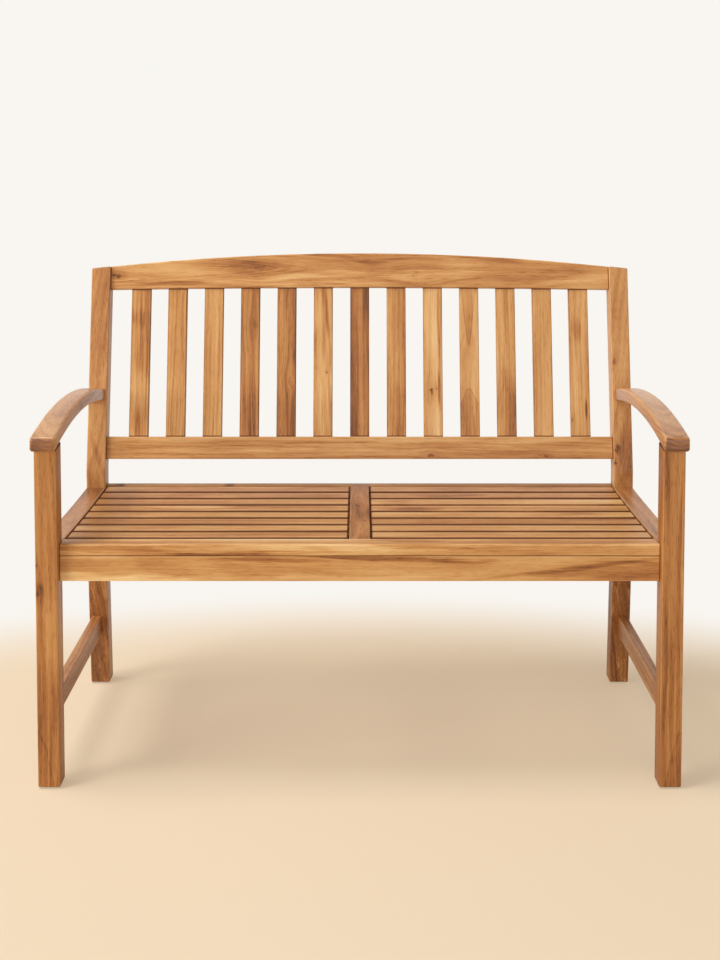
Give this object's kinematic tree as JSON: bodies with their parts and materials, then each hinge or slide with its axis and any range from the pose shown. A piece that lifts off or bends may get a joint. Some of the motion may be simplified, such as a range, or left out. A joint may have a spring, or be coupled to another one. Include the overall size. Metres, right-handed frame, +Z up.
{
  "type": "garden bench",
  "caption": "Two-place slatted hardwood garden bench with an arched top rail, upright back slats, arched arms and a dished slatted seat.",
  "frame": {"origin": "on the floor, midway across the width and midway between the arm noses and the back's rearmost edge", "axes": "+X to the right of someone facing the bench, +Y from the front towards the back, +Z up"},
  "size_m": [1.2, 0.5985, 0.9486],
  "materials": {
    "hardwood": "oiled, satin, open straight grain with darker streaks and small knots",
    "dowel": "plain beech, unfinished",
    "steel": "zinc plated",
    "glide": "matt, moulded"
  },
  "bodies": {
    "root": {"arm_left": "hardwood", "arm_right": "hardwood", "back_slat_01": "hardwood", "back_slat_02": "hardwood", "back_slat_03": "hardwood", "back_slat_04": "hardwood", "back_slat_05": "hardwood", "back_slat_06": "hardwood", "back_slat_07": "hardwood", "back_slat_08": "hardwood", "back_slat_09": "hardwood", "back_slat_10": "hardwood", "back_slat_11": "hardwood", "back_slat_12": "hardwood", "back_slat_13": "hardwood", "barrel_nuts": "steel", "foot_glide_front_left": "glide", "foot_glide_front_right": "glide", "foot_glide_rear_left": "glide", "foot_glide_rear_right": "glide", "frame_bolts": "steel", "front_apron": "hardwood", "front_leg_left": "hardwood", "front_leg_right": "hardwood", "glide_nails": "steel", "lower_back_rail": "hardwood", "rail_dowels": "dowel", "rear_post_left": "hardwood", "rear_post_right": "hardwood", "seat_centre_rail": "hardwood", "seat_cleat_inner_left": "hardwood", "seat_cleat_inner_right": "hardwood", "seat_cleat_outer_left": "hardwood", "seat_cleat_outer_right": "hardwood", "seat_front_rail": "hardwood", "seat_rear_rail": "hardwood", "seat_screws": "steel", "seat_side_rail_left": "hardwood", "seat_side_rail_right": "hardwood", "seat_slat_left_1": "hardwood", "seat_slat_left_2": "hardwood", "seat_slat_left_3": "hardwood", "seat_slat_left_4": "hardwood", "seat_slat_left_5": "hardwood", "seat_slat_left_6": "hardwood", "seat_slat_left_7": "hardwood", "seat_slat_left_8": "hardwood", "seat_slat_right_1": "hardwood", "seat_slat_right_2": "hardwood", "seat_slat_right_3": "hardwood", "seat_slat_right_4": "hardwood", "seat_slat_right_5": "hardwood", "seat_slat_right_6": "hardwood", "seat_slat_right_7": "hardwood", "seat_slat_right_8": "hardwood", "side_stretcher_left": "hardwood", "side_stretcher_right": "hardwood", "tenon_pins": "dowel", "top_back_rail": "hardwood"}
  },
  "joints": []
}
